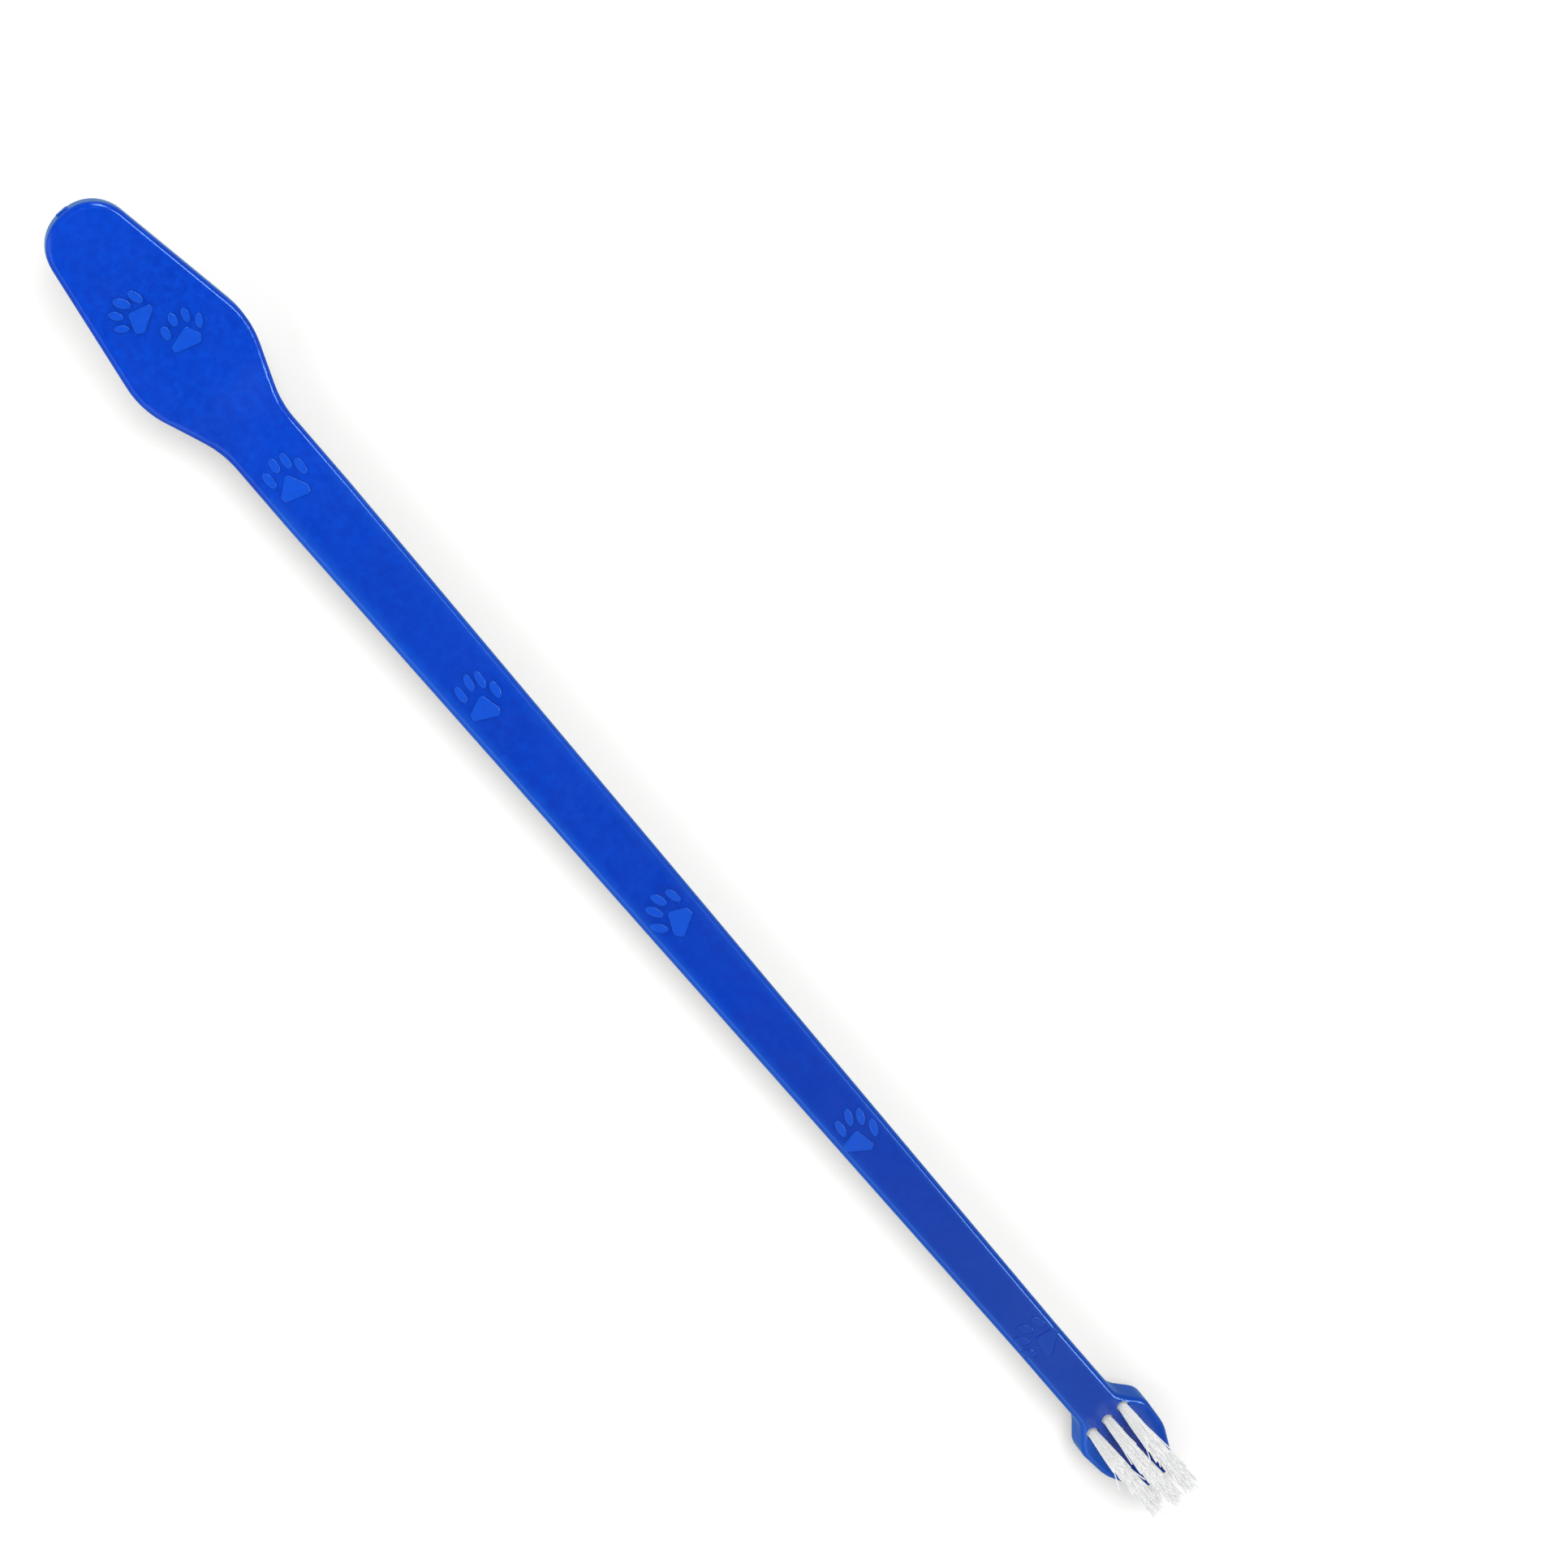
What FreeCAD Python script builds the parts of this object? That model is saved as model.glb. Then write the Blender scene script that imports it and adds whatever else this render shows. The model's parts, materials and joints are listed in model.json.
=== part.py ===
import FreeCAD, Part
import Sketcher
import math
import os
from FreeCAD import Placement, Rotation, Vector

# Dual-ended pet toothbrush: one moulded handle with a large teardrop head on
# one end and a small head on the other, bent opposite ways, and two fields of
# stapled nylon bristle tufts.
#
# Frame: X runs along the handle, large head at -X, small head at +X. Z is up.
# z = 0 is the flat underside of the straight handle, and the origin is near the
# middle of the brush's length. The large head's bristles point down, the small
# head's bristles point up. The brush is symmetric about the XZ plane except for
# the raised paw prints on its upper side.

os.makedirs("parts", exist_ok=True)
doc = FreeCAD.newDocument("pet_toothbrush")

# ---------------------------------------------------------------- dimensions
# alias, value, note
SIZES = [
    # handle moulding, side profile
    ("handle_thick", 4.05, "thickness of the straight handle"),
    ("large_bend_x", 79.0, "distance of the large head's bend from the origin"),
    ("large_bend_deg", 21.5, "large head bends up by this angle"),
    ("large_head_len", 31.15, "bend to end face, along the large head"),
    ("large_head_thick", 4.55, "thickness of the large head"),
    ("large_bend_under_rad", 40.0, "bend radius on the bristle side"),
    ("large_bend_back_rad", 36.0, "bend radius on the back"),
    ("small_bend_x", 93.7, "distance of the small head's bend from the origin"),
    ("small_bend_deg", 29.3, "small head bends down by this angle"),
    ("small_head_len", 14.5, "bend to end face, along the small head"),
    ("small_head_thick", 4.8, "thickness of the small head"),
    ("small_bend_top_rad", 33.4, "bend radius on the bristle side"),
    ("small_bend_under_rad", 28.6, "bend radius on the back"),
    ("blank_extra", 3.0, "length of the bent blank beyond each end face"),
    # handle strip, plan outline (half widths)
    ("neck_half", 4.98, "half width of the handle at the large end"),
    ("waist_half", 3.06, "half width of the handle at the small end"),
    ("taper_large_x", 60.0, "where the taper starts, from the origin"),
    ("taper_small_x", 82.0, "where the taper ends, from the origin"),
    ("taper_rad", 150.0, "easing of the taper's ends"),
    ("strip_large_x", 66.0, "large end of the handle's own cut, from the origin"),
    ("strip_small_x", 87.6, "small end of the handle's own cut, from the origin"),
    # large head outline, in the head's own plane, from its end face
    ("tip_half", 5.05, "half width at the large end's corner"),
    ("tip_corner_rad", 5.5, "corner radius of the large end"),
    ("belly_along", 25.4, "end face to the widest corner of the teardrop"),
    ("belly_half", 9.3, "half width at the widest corner"),
    ("belly_rad", 12.5, "radius at the widest corner"),
    ("neck_along", 36.16, "end face to where the teardrop meets the handle"),
    ("neck_rad", 13.0, "radius into the handle"),
    ("large_cut_along", 46.0, "end face to the end of the head's own cut"),
    # small head outline, in the head's own plane, back from its end face
    ("waist_back", 14.2, "end face to where the handle meets the small head"),
    ("waist_rad", 2.2, "radius into the small head"),
    ("cheek_back", 11.1, "end face to the first wide corner"),
    ("cheek_half", 5.5, "half width there"),
    ("cheek_rad", 2.5, "radius there"),
    ("flank_back", 6.1, "end face to the second wide corner"),
    ("flank_half", 5.1, "half width there"),
    ("flank_rad", 6.0, "radius there"),
    ("small_tip_half", 2.6, "half width at the small end's corner"),
    ("small_tip_rad", 2.3, "corner radius of the small end"),
    ("small_cut_back", 21.4, "end face to the end of the head's own cut"),
    # blank, cuts and rim
    ("rim_rad", 0.9, "rounding of the moulding's rim"),
    ("blank_half", 20.0, "half width of the blank that the outline is cut from"),
    ("cut_half", "=blank_half + 5", "half width of the outline cuts"),
    ("cut_reach", 15.0, "reach of the head cuts beyond the end faces"),
    ("cut_deep", 80.0, "total depth of the outline cuts"),
    # paw print reliefs and gate vestige
    ("head_relief", 0.45, "height of the paw prints on the large head"),
    ("handle_relief", 0.32, "height of the paw prints on the handle"),
    ("small_relief", 0.16, "height of the faint paw print by the small head"),
    ("relief_sink", 0.4, "how far a relief is rooted in the moulding"),
    ("relief_edge_rad", 0.14, "rounding of the reliefs' top edge"),
    ("gate_wide", 1.8, "gate vestige width"),
    ("gate_high", 1.1, "gate vestige height"),
    ("gate_proud", 0.2, "gate vestige length"),
    ("gate_sink", 0.4, "how far the gate vestige is rooted in the moulding"),
    ("gate_corner_rad", 0.3, "gate vestige corner radius"),
    ("gate_half_wide", "=gate_wide / 2", "gate vestige half width"),
    ("gate_half_high", "=gate_high / 2", "gate vestige half height"),
    # tuft holes
    ("hole_dia", 1.7, "tuft hole diameter"),
    ("hole_rad", "=hole_dia / 2", "tuft hole radius"),
    ("hole_deep", 2.9, "tuft hole depth"),
    ("large_rows", 10, "rows of tufts in the large head"),
    ("large_first", 4.9, "large end to the first row"),
    ("large_pitch", 2.545, "row spacing in the large head"),
    ("large_col_pitch", 2.6, "column spacing in the large head"),
    ("small_rows", 5, "rows of tufts in the small head"),
    ("small_first_x", 96.2, "first row of the small head"),
    ("small_pitch", 2.4, "row spacing in the small head, across the tufts"),
    ("small_col_pitch", 2.6, "column spacing in the small head"),
    ("small_lean_deg", 26.0, "direction of the small head's tuft holes"),
    ("small_hole_clear", 0.7, "start of the small head's hole cuts, above the first row"),
    # filament bundles
    ("root_dia", 1.62, "folded bundle inside its hole"),
    ("tuft_base_dia", 1.56, "free bundle where it leaves the face"),
    ("large_tip_dia", 2.3, "free bundle at its trimmed end, large head"),
    ("small_tip_dia", 1.95, "free bundle at its trimmed end, small head"),
    ("large_free_len", 10.8, "face to trimmed end, large head"),
    ("small_free_len", 9.5, "face to trimmed end, small head"),
    ("flex_gap", 0.35, "face to the start of the part of the bundle that leans"),
    ("large_fan_deg", 3.5, "lean of the outermost rows away from the middle"),
    ("small_fan_deg", -2.0 * -1, "lean of the outermost rows towards the middle"),
    # anchors
    ("anchor_thick", 0.25, "anchor plate thickness"),
    ("anchor_wide", 1.9, "anchor plate width, wider than the hole so that it bites"),
    ("anchor_high", 1.4, "anchor plate height"),
    ("anchor_lift", 0.4, "hole floor to the anchor's lower edge"),
]


def head_sizes(head, out, up):
    """Side profile points of a head; out and up are its signs along X and Z."""
    half = f"{head}_head_thick / 2"
    reach = f"({head}_head_len + blank_extra)"
    entries = [
        (f"{head}_sin", f"=sin({head}_bend_deg * 1 deg)", "sine of the bend"),
        (f"{head}_cos", f"=cos({head}_bend_deg * 1 deg)", "cosine of the bend"),
        (f"{head}_end_x", f"=({out}) * ({head}_bend_x + {head}_head_len * {head}_cos)",
         "middle of the end face, x"),
        (f"{head}_end_z", f"=handle_thick / 2 + ({up}) * {head}_head_len * {head}_sin",
         "middle of the end face, z"),
        (f"{head}_blank_x", f"=({out}) * ({head}_bend_x + {reach} * {head}_cos)",
         "middle of the blank's end, x"),
        (f"{head}_blank_z", f"=handle_thick / 2 + ({up}) * {reach} * {head}_sin",
         "middle of the blank's end, z"),
        (f"{head}_bend_shift",
         f"=({half} * {head}_cos - handle_thick / 2) / {head}_sin * {head}_cos"
         f" + {half} * {head}_sin",
         "bend to the profile's corners there, along x"),
    ]
    for face, sign in (("under", "-"), ("top", "+")):
        entries += [
            (f"{head}_{face}_bend_x", f"=({out}) * {head}_bend_x {sign} {head}_bend_shift",
             "profile corner at the bend, x"),
            (f"{head}_{face}_blank_x", f"={head}_blank_x {sign} {half} * {head}_sin",
             "corner of the blank's end, x"),
            (f"{head}_{face}_blank_z", f"={head}_blank_z {sign} {half} * {head}_cos",
             "corner of the blank's end, z"),
        ]
    return entries


SIZES += head_sizes("large", -1, 1) + head_sizes("small", 1, -1)

dims = doc.addObject("Spreadsheet::Sheet", "Dims")
for line, (alias, value, note) in enumerate(SIZES, 1):
    dims.set(f"A{line}", alias)
    dims.set(f"B{line}", str(value))
    dims.set(f"C{line}", note)
    dims.setAlias(f"B{line}", alias)
doc.recompute()
SIZE = {alias: float(dims.get(alias)) for alias, value, note in SIZES}

# Stands in for a coordinate of 0 on a rounded corner.
NEAR_ZERO = 1e-6


# ---------------------------------------------------------- sketch helpers
def tilt(degrees):
    """Turn about Y; a positive angle tips +X down."""
    return Rotation(Vector(0, 1, 0), degrees)


def shift(x, y, z):
    return Placement(Vector(x, y, z), Rotation())


def size(entry):
    """Value of an entry: a number, or an alias that may have a minus sign."""
    if not isinstance(entry, str):
        return entry
    value = SIZE[entry.lstrip("-")]
    return -value if entry.startswith("-") else value


def bind(sketch, kind, target, entry):
    """Coordinate or radius constraint; an alias stays bound to the sheet."""
    number = sketch.addConstraint(Sketcher.Constraint(kind, *target, size(entry)))
    if isinstance(entry, str):
        minus = "-" if entry.startswith("-") else ""
        sketch.setExpression(f"Constraints[{number}]", f"{minus}Dims.{entry.lstrip('-')}")


def corner_arc(before, here, after, radius):
    """Start, stop, centre and turning angle of the arc that rounds a corner."""
    into = (here - before).normalize()
    out = (after - here).normalize()
    turn = math.atan2(into.x * out.y - into.y * out.x, into.dot(out))
    run = radius * math.tan(abs(turn) / 2)
    start = here - into * run
    side = Vector(-into.y, into.x, 0) * (1 if turn > 0 else -1)
    return start, here + out * run, start + side * radius, turn


def outline(sketch, corners):
    """A closed outline of straight sides with rounded corners.

    corners: (x, y, radius) entries, with radius None for a sharp corner. Each
    corner's theoretical point is placed, and each rounding is an arc tangent
    to both of its sides.
    """
    count = len(corners)
    points = [Vector(size(x), size(y), 0) for x, y, radius in corners]
    arcs = []
    for k, (x, y, radius) in enumerate(corners):
        if radius is None:
            arcs.append((points[k], points[k], None, 0))
        else:
            arcs.append(corner_arc(points[k - 1], points[k], points[(k + 1) % count],
                                   size(radius)))
    lines = []
    for k in range(count):
        segment = Part.LineSegment(arcs[k][1], arcs[(k + 1) % count][0])
        lines.append(sketch.addGeometry(segment, False))
    for k, (x, y, radius) in enumerate(corners):
        before, after = lines[k - 1], lines[k]
        start, stop, centre, turn = arcs[k]
        if radius is None:
            sketch.addConstraint(Sketcher.Constraint("Coincident", before, 2, after, 1))
            bind(sketch, "DistanceX", (after, 1), x)
            bind(sketch, "DistanceY", (after, 1), y)
            continue
        start_angle = math.atan2(start.y - centre.y, start.x - centre.x)
        stop_angle = math.atan2(stop.y - centre.y, stop.x - centre.x)
        circle = Part.Circle(centre, Vector(0, 0, 1), size(radius))
        # Arcs run anticlockwise, so a right turn swaps the arc's ends.
        if turn > 0:
            arc = Part.ArcOfCircle(circle, start_angle, stop_angle)
            first, last = 1, 2
        else:
            arc = Part.ArcOfCircle(circle, stop_angle, start_angle)
            first, last = 2, 1
        rounding = sketch.addGeometry(arc, False)
        point = sketch.addGeometry(Part.Point(points[k]), True)
        sketch.addConstraint(Sketcher.Constraint("Tangent", before, 2, rounding, first))
        sketch.addConstraint(Sketcher.Constraint("Tangent", rounding, last, after, 1))
        sketch.addConstraint(Sketcher.Constraint("PointOnObject", point, 1, before))
        sketch.addConstraint(Sketcher.Constraint("PointOnObject", point, 1, after))
        bind(sketch, "DistanceX", (point, 1), x)
        bind(sketch, "DistanceY", (point, 1), y)
        bind(sketch, "Radius", (rounding,), radius)


# --------------------------------------------------------- feature helpers
handle = doc.addObject("PartDesign::Body", "handle")


def new_sketch(name, place=None, plane="XY_Plane"):
    sketch = handle.newObject("Sketcher::SketchObject", name)
    support = next(item for item in handle.Origin.OriginFeatures if item.Role == plane)
    sketch.AttachmentSupport = (support, "")
    sketch.MapMode = "FlatFace"
    if place is not None:
        sketch.AttachmentOffset = place
    return sketch


def finish(feature, grows):
    """Make the feature the body's tip, and make sure that it really acted."""
    before = 0.0 if handle.Shape.isNull() else handle.Shape.Volume
    handle.Tip = feature
    doc.recompute()
    after = handle.Shape.Volume
    acted = after > before if grows else after < before
    if not handle.Shape.isValid() or not acted:
        raise RuntimeError(f"{feature.Name} did nothing: {before:.3f} to {after:.3f}")


def extrude(kind, name, sketch, length, midplane=False):
    """A Pad or Pocket whose length is an expression."""
    doc.recompute()
    feature = handle.newObject("PartDesign::" + kind, name)
    feature.Profile = sketch
    if midplane:
        feature.Midplane = True
    feature.setExpression("Length", length)
    finish(feature, grows=kind == "Pad")
    return feature


def round_edges(name, base, edges, alias):
    fillet = handle.newObject("PartDesign::Fillet", name)
    fillet.Base = (base, edges)
    fillet.Radius = SIZE[alias]
    fillet.setExpression("Radius", "Dims." + alias)
    finish(fillet, grows=False)


# -------------------------------------------------------- handle moulding
# Frames on the middle of each end face: x runs along the head towards +X,
# z points to its upper side.
large_end = Placement(Vector(SIZE["large_end_x"], 0, SIZE["large_end_z"]),
                      tilt(SIZE["large_bend_deg"]))
small_end = Placement(Vector(SIZE["small_end_x"], 0, SIZE["small_end_z"]),
                      tilt(SIZE["small_bend_deg"]))


def bent_blank():
    """Side profile with both bends, a little longer than the brush."""
    sketch = new_sketch("side_profile", plane="XZ_Plane")
    outline(sketch, [
        ("large_under_blank_x", "large_under_blank_z", None),
        ("large_under_bend_x", NEAR_ZERO, "large_bend_under_rad"),
        ("small_under_bend_x", NEAR_ZERO, "small_bend_under_rad"),
        ("small_under_blank_x", "small_under_blank_z", None),
        ("small_top_blank_x", "small_top_blank_z", None),
        ("small_top_bend_x", "handle_thick", "small_bend_top_rad"),
        ("large_top_bend_x", "handle_thick", "large_bend_back_rad"),
        ("large_top_blank_x", "large_top_blank_z", None),
    ])
    extrude("Pad", "profile_pad", sketch, "2 * Dims.blank_half", midplane=True)


def trim_outside(name, place, rings):
    sketch = new_sketch(name, place)
    for ring in rings:
        outline(sketch, ring)
    return extrude("Pocket", name + "_cut", sketch, "Dims.cut_deep", midplane=True)


def handle_side(sign):
    """Waste beside the handle; sign is "" for the +Y side, "-" for the -Y side."""
    return [
        ("-strip_large_x", sign + "cut_half", None),
        ("-strip_large_x", sign + "neck_half", None),
        ("-taper_large_x", sign + "neck_half", "taper_rad"),
        ("taper_small_x", sign + "waist_half", "taper_rad"),
        ("strip_small_x", sign + "waist_half", None),
        ("strip_small_x", sign + "cut_half", None),
    ]


def head_ring(far, open_at, half, corners):
    """A C-shaped outline round a head, open towards the handle."""
    return [
        (open_at, "-cut_half", None),
        (far, "-cut_half", None),
        (far, "cut_half", None),
        (open_at, "cut_half", None),
        (open_at, half, None),
        *corners,
        *[(x, "-" + y, radius) for x, y, radius in reversed(corners)],
        (open_at, "-" + half, None),
    ]


def rim_edges(shape):
    """Edges where two faces meet at a real angle, not tangentially."""
    names = []
    for number, edge in enumerate(shape.Edges, 1):
        faces = shape.ancestorsOfType(edge, Part.Face)
        if len(faces) != 2:
            continue
        middle = edge.valueAt((edge.FirstParameter + edge.LastParameter) / 2)
        normals = [face.normalAt(*face.Surface.parameter(middle)) for face in faces]
        if abs(normals[0].dot(normals[1])) < 0.98:
            names.append(f"Edge{number}")
    return names


bent_blank()
# The handle's sides are square to the handle, and each head's walls are square
# to that head, so three cuts trim the blank. They meet on the parallel
# stretches of the handle next to each head.
trim_outside("handle_outline", None, [handle_side(""), handle_side("-")])
trim_outside("large_head_outline", large_end, [
    head_ring("-cut_reach", "large_cut_along", "neck_half", [
        ("neck_along", "neck_half", "neck_rad"),
        ("belly_along", "belly_half", "belly_rad"),
        (NEAR_ZERO, "tip_half", "tip_corner_rad"),
    ])])
trimmed = trim_outside("small_head_outline", small_end, [
    head_ring("cut_reach", "-small_cut_back", "waist_half", [
        ("-waist_back", "waist_half", "waist_rad"),
        ("-cheek_back", "cheek_half", "cheek_rad"),
        ("-flank_back", "flank_half", "flank_rad"),
        (NEAR_ZERO, "small_tip_half", "small_tip_rad"),
    ])])
round_edges("rim_round", trimmed, rim_edges(trimmed.Shape), "rim_rad")

# ------------------------------------------------------- paw print reliefs
# Each print is four oval toes (x, y, lean to the right in degrees, half length,
# half width) and a pad with five rounded corners (x, y, radius). The toes lie
# towards the print's +y. No two prints are quite alike.
PRINTS = {
    "head_paw_tip": (
        [(-1.86, 1.40, -20, 0.97, 0.50), (-0.60, 2.66, -6, 1.00, 0.56),
         (1.16, 2.56, -5, 1.22, 0.66), (2.60, 1.30, 15, 1.15, 0.60)],
        [(0.20, 1.45, 0.5), (2.50, -0.75, 0.4), (2.00, -1.35, 0.3),
         (-1.25, -1.45, 0.4), (-1.90, -0.50, 0.4)]),
    "head_paw_neck": (
        [(-2.46, 1.44, -8, 1.00, 0.60), (-1.04, 2.76, -8, 0.97, 0.58),
         (0.68, 2.80, -3, 1.02, 0.53), (2.06, 1.56, 12, 1.00, 0.50)],
        [(0.15, 1.50, 0.45), (1.80, -0.05, 0.45), (1.35, -1.20, 0.4),
         (-2.30, -1.40, 0.4), (-2.45, -0.50, 0.4)]),
    "handle_paw_a": (
        [(-2.20, 0.60, -16, 1.30, 0.58), (-0.82, 2.08, -9, 1.12, 0.60),
         (0.80, 2.06, -11, 1.22, 0.56), (2.26, 0.66, -10, 1.27, 0.58)],
        [(0.00, 0.60, 0.5), (2.20, -1.95, 0.5), (2.00, -3.05, 0.4),
         (-1.55, -2.90, 0.4), (-1.85, -2.05, 0.5)]),
    "handle_paw_b": (
        [(-2.22, 0.95, -22, 1.27, 0.56), (-0.86, 2.20, -12, 1.25, 0.54),
         (0.66, 2.26, -17, 1.30, 0.54), (2.28, 0.60, -15, 1.25, 0.58)],
        [(0.25, 0.50, 0.5), (2.35, -1.90, 0.5), (2.05, -2.85, 0.4),
         (-1.50, -2.80, 0.4), (-1.65, -1.75, 0.5)]),
    "handle_paw_c": (
        [(-2.34, 0.60, -10, 1.25, 0.58), (-0.70, 2.00, 0, 1.27, 0.60),
         (0.94, 2.10, 4, 1.20, 0.58), (2.20, 0.60, 11, 1.20, 0.56)],
        [(-0.05, 0.50, 0.5), (1.50, -1.55, 0.5), (1.25, -2.65, 0.4),
         (-2.15, -2.85, 0.4), (-2.45, -1.55, 0.5)]),
    "handle_paw_d": (
        [(-1.95, 0.75, -25, 1.20, 0.56), (-0.78, 2.10, -12, 1.20, 0.55),
         (0.72, 2.10, -12, 1.20, 0.55), (2.30, 0.55, -12, 1.20, 0.56)],
        [(0.02, 0.50, 0.5), (2.20, -1.50, 0.5), (1.90, -2.35, 0.4),
         (-1.60, -2.30, 0.4), (-1.80, -1.40, 0.5)]),
    "handle_paw_e": (
        [(-2.10, 0.70, -12, 1.10, 0.54), (-0.80, 2.00, -5, 1.10, 0.54),
         (0.80, 2.00, 0, 1.10, 0.54), (2.10, 0.70, 10, 1.10, 0.54)],
        [(0.02, 0.50, 0.5), (2.00, -1.40, 0.5), (1.75, -2.20, 0.4),
         (-1.75, -2.20, 0.4), (-2.00, -1.40, 0.5)]),
}

# Where the prints lie: name, x and y on the surface, clockwise turn in degrees
# seen from above, height. On the large head, x runs from its end face.
HEAD_PAWS = [
    ("head_paw_tip", 16.0, -1.8, -27.7, "head_relief"),
    ("head_paw_neck", 21.9, 1.55, 20.7, "head_relief"),
]
HANDLE_PAWS = [
    ("handle_paw_a", -65.3, -0.75, 15.5, "handle_relief"),
    ("handle_paw_b", -27.6, -0.5, 27.0, "handle_relief"),
    ("handle_paw_c", 9.5, 0.05, -26.0, "handle_relief"),
    ("handle_paw_d", 46.6, -0.35, 36.0, "handle_relief"),
    ("handle_paw_e", 82.1, 0.15, -34.0, "small_relief"),
]


def paw(surface, name, x, y, clockwise, height):
    """Unturned, the toes point to the large head."""
    turn = Rotation(Vector(0, 0, 1), 90 - clockwise)
    spot = surface * Placement(Vector(x, y, 0), turn)
    sketch = new_sketch(name, spot * shift(0, 0, -SIZE["relief_sink"]))
    toes, corners = PRINTS[name]
    outline(sketch, corners[::-1])
    for toe_x, toe_y, lean, half_long, half_wide in toes:
        angle = math.radians(lean)
        along = Vector(math.sin(angle), math.cos(angle), 0)
        across = Vector(along.y, -along.x, 0)
        centre = Vector(toe_x, toe_y, 0)
        oval = Part.Ellipse(centre + along * half_long, centre + across * half_wide, centre)
        toe = sketch.addGeometry(oval, False)
        sketch.addConstraint(Sketcher.Constraint("Block", toe))
    extrude("Pad", name + "_relief", sketch, f"Dims.relief_sink + Dims.{height}")


def gate_vestige():
    """Small block on the large head's end face."""
    face = Placement(large_end.Base, tilt(SIZE["large_bend_deg"] - 90))
    sketch = new_sketch("gate_outline", face * shift(0, 0, -SIZE["gate_sink"]))
    outline(sketch, [
        ("-gate_half_high", "-gate_half_wide", "gate_corner_rad"),
        ("gate_half_high", "-gate_half_wide", "gate_corner_rad"),
        ("gate_half_high", "gate_half_wide", "gate_corner_rad"),
        ("-gate_half_high", "gate_half_wide", "gate_corner_rad"),
    ])
    return extrude("Pad", "gate_vestige", sketch, "Dims.gate_sink + Dims.gate_proud")


def relief_edges(shape):
    """Edges of the paw prints' flat tops: small flat faces above the handle."""
    tops = []
    for face in shape.Faces:
        if face.Surface.TypeId != "Part::GeomPlane" or not 0.9 < face.Area < 14:
            continue
        above = face.CenterOfMass.z > SIZE["handle_thick"] + 0.1
        if face.normalAt(0, 0).z > 0.9 and above:
            tops.append(face)
    return [f"Edge{number}" for number, edge in enumerate(shape.Edges, 1)
            if any(edge.isSame(other) for face in tops for other in face.Edges)]


for entry in HEAD_PAWS:
    paw(large_end * shift(0, 0, SIZE["large_head_thick"] / 2), *entry)
for entry in HANDLE_PAWS:
    paw(shift(0, 0, SIZE["handle_thick"]), *entry)
gate = gate_vestige()
round_edges("relief_round", gate, relief_edges(gate.Shape), "relief_edge_rad")

# -------------------------------------------------------------- tuft holes
# Runs of equal rows in the large head, from the end to the neck: (rows,
# columns). The rows widen with the teardrop.
LARGE_RUNS = [(2, 3), (5, 4), (2, 5), (1, 4)]
LARGE_COLUMNS = [columns for rows, columns in LARGE_RUNS for row in range(rows)]
SMALL_ROWS = int(SIZE["small_rows"])
SMALL_COLUMNS = [3] * SMALL_ROWS


def columns_y(count, pitch):
    return [(k - (count - 1) / 2) * pitch for k in range(count)]


def large_row(row):
    """Frame where a row meets the large head's bristle face, z out of the face."""
    along = SIZE["large_first"] + row * SIZE["large_pitch"]
    root = large_end.multVec(Vector(along, 0, -SIZE["large_head_thick"] / 2))
    return Placement(root, tilt(180 + SIZE["large_bend_deg"]))


# Bristle face of the small head: flat handle top, then the bend, then flat.
small_bend = math.radians(SIZE["small_bend_deg"])
small_bend_rad = SIZE["small_bend_top_rad"]
bend_start = SIZE["small_top_bend_x"] - small_bend_rad * math.tan(small_bend / 2)
bend_stop = bend_start + small_bend_rad * math.sin(small_bend)


def small_face_z(x):
    if x < bend_start:
        return SIZE["handle_thick"]
    reach = min(x, bend_stop) - bend_start
    z = SIZE["handle_thick"] - small_bend_rad + math.sqrt(small_bend_rad ** 2 - reach ** 2)
    return z - max(0.0, x - bend_stop) * math.tan(small_bend)


def small_row(row):
    """Frame of a row on the plane through the first row's root, z along the holes."""
    x = SIZE["small_first_x"]
    first = Placement(Vector(x, 0, small_face_z(x)), tilt(SIZE["small_lean_deg"]))
    return first * shift(row * SIZE["small_pitch"], 0, 0)


def small_root(row):
    """Where a row's axis meets the curved face, closed in on step by step."""
    frame = small_row(row)
    height = 0.0
    for step in range(60):
        point = frame.multVec(Vector(0, 0, height))
        gap = small_face_z(point.x) - point.z
        height += gap * math.cos(math.radians(SIZE["small_lean_deg"]))
    return frame.multVec(Vector(0, 0, height))


def hole_rows(name, place, head, columns, rows, depth):
    """One row of blind holes, repeated along the sketch's x axis."""
    sketch = new_sketch(name, place)
    pitch = SIZE[head + "_col_pitch"]
    for step in columns_y(columns, 1.0):
        y = step * pitch
        circle = Part.Circle(Vector(0, y, 0), Vector(0, 0, 1), SIZE["hole_rad"])
        hole = sketch.addGeometry(circle, False)
        sketch.addConstraint(Sketcher.Constraint("PointOnObject", hole, 3, -2))
        if step:
            number = sketch.addConstraint(Sketcher.Constraint("DistanceY", hole, 3, y))
            sketch.setExpression(f"Constraints[{number}]", f"{step:g} * Dims.{head}_col_pitch")
        else:
            sketch.addConstraint(Sketcher.Constraint("PointOnObject", hole, 3, -1))
        bind(sketch, "Radius", (hole,), "hole_rad")
    pocket = extrude("Pocket", name + "_cut", sketch, depth)
    if rows == 1:
        return
    pattern = handle.newObject("PartDesign::LinearPattern", name + "_pattern")
    pattern.Originals = [pocket]
    pattern.Direction = (sketch, ["H_Axis"])
    pattern.Length = (rows - 1) * SIZE[head + "_pitch"]
    pattern.setExpression("Length", f"{rows - 1} * Dims.{head}_pitch")
    pattern.Occurrences = rows
    finish(pattern, grows=False)


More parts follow.
